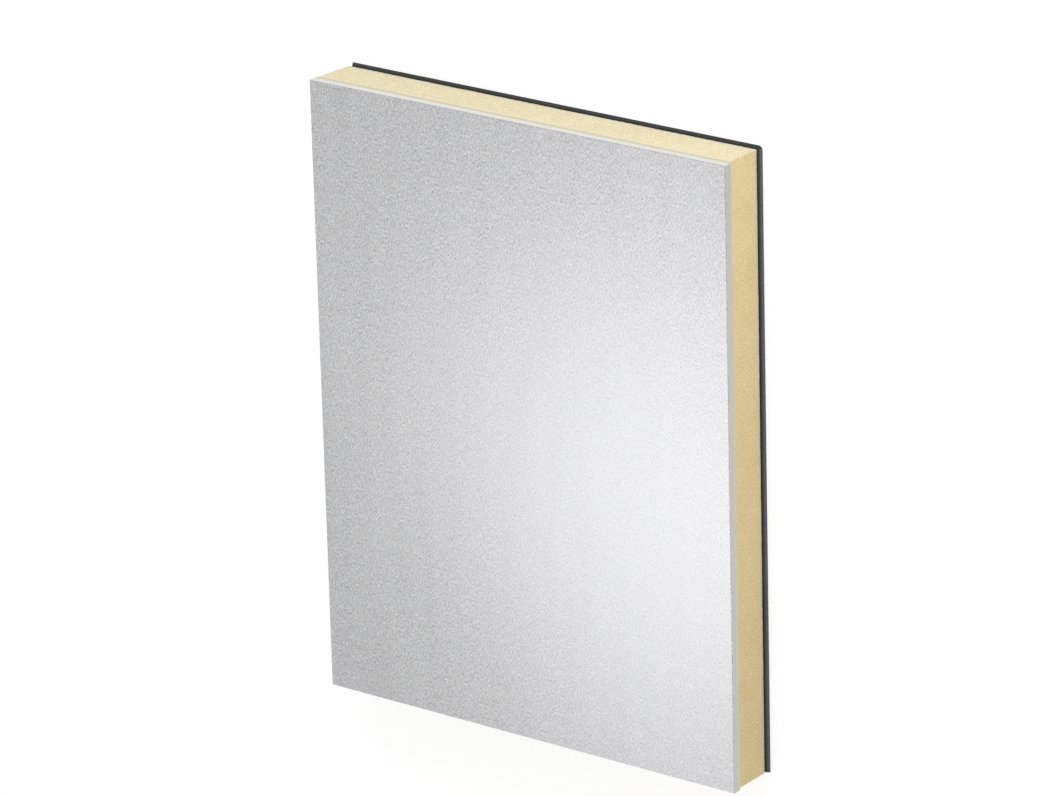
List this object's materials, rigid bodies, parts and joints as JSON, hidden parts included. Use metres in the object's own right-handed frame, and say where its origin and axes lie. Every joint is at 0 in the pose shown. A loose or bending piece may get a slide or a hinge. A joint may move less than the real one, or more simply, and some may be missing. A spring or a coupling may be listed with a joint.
{
  "type": "insulated sandwich panel",
  "caption": "Flat rectangular insulated infill panel: brushed aluminium front sheet and dark coated back sheet bonded to a rigid foam core.",
  "frame": {"origin": "on the floor under the middle of the panel's bounding box, which is the outer face of the back sheet", "axes": "+Z out of the brushed front sheet, +Y up the panel's height as it is fitted, +X across it to the right as seen from the brushed side"},
  "size_m": [0.193, 0.2512, 0.025],
  "materials": {
    "brushed_aluminium": "fine brushing along the panel's height, clear anodised",
    "pu_foam": "sawn rigid foam with fine closed cells",
    "anthracite_coating": "matt anthracite powder coat on the face and the edges"
  },
  "bodies": {
    "root": {"front_sheet": "brushed_aluminium", "foam_core": "pu_foam", "back_sheet": "anthracite_coating"}
  },
  "joints": []
}
